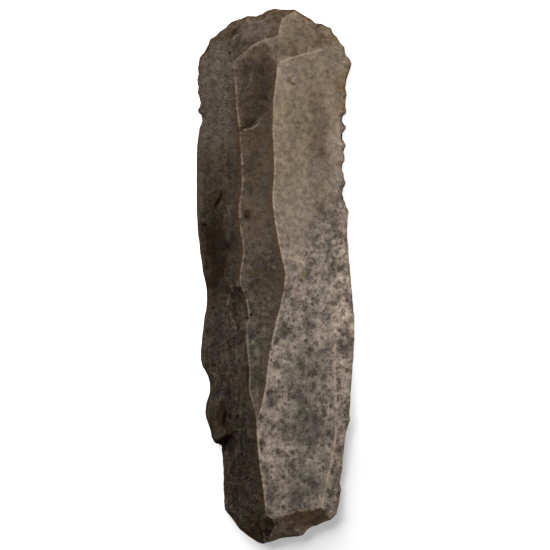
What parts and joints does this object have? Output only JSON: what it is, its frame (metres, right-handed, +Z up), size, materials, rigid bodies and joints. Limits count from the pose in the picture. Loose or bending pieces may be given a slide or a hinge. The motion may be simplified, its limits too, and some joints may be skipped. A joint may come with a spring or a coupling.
{
  "type": "flint blade scraper",
  "caption": "Long struck flint blade with ridged back, smooth flake face, rounded retouched scraper end and small faceted butt.",
  "frame": {"origin": "on the surface that the blade lies on, under the middle of its bounding box", "axes": "+Y from the butt to the rounded scraper end, +X to the blade's right seen from above, +Z up, out of the ridged back"},
  "size_m": [0.0324, 0.11, 0.0118],
  "materials": {
    "flint": "weathered grey-brown flint, satin, with dark grey specks and amber arrises"
  },
  "bodies": {
    "root": {"flint_blade": "flint"}
  },
  "joints": []
}
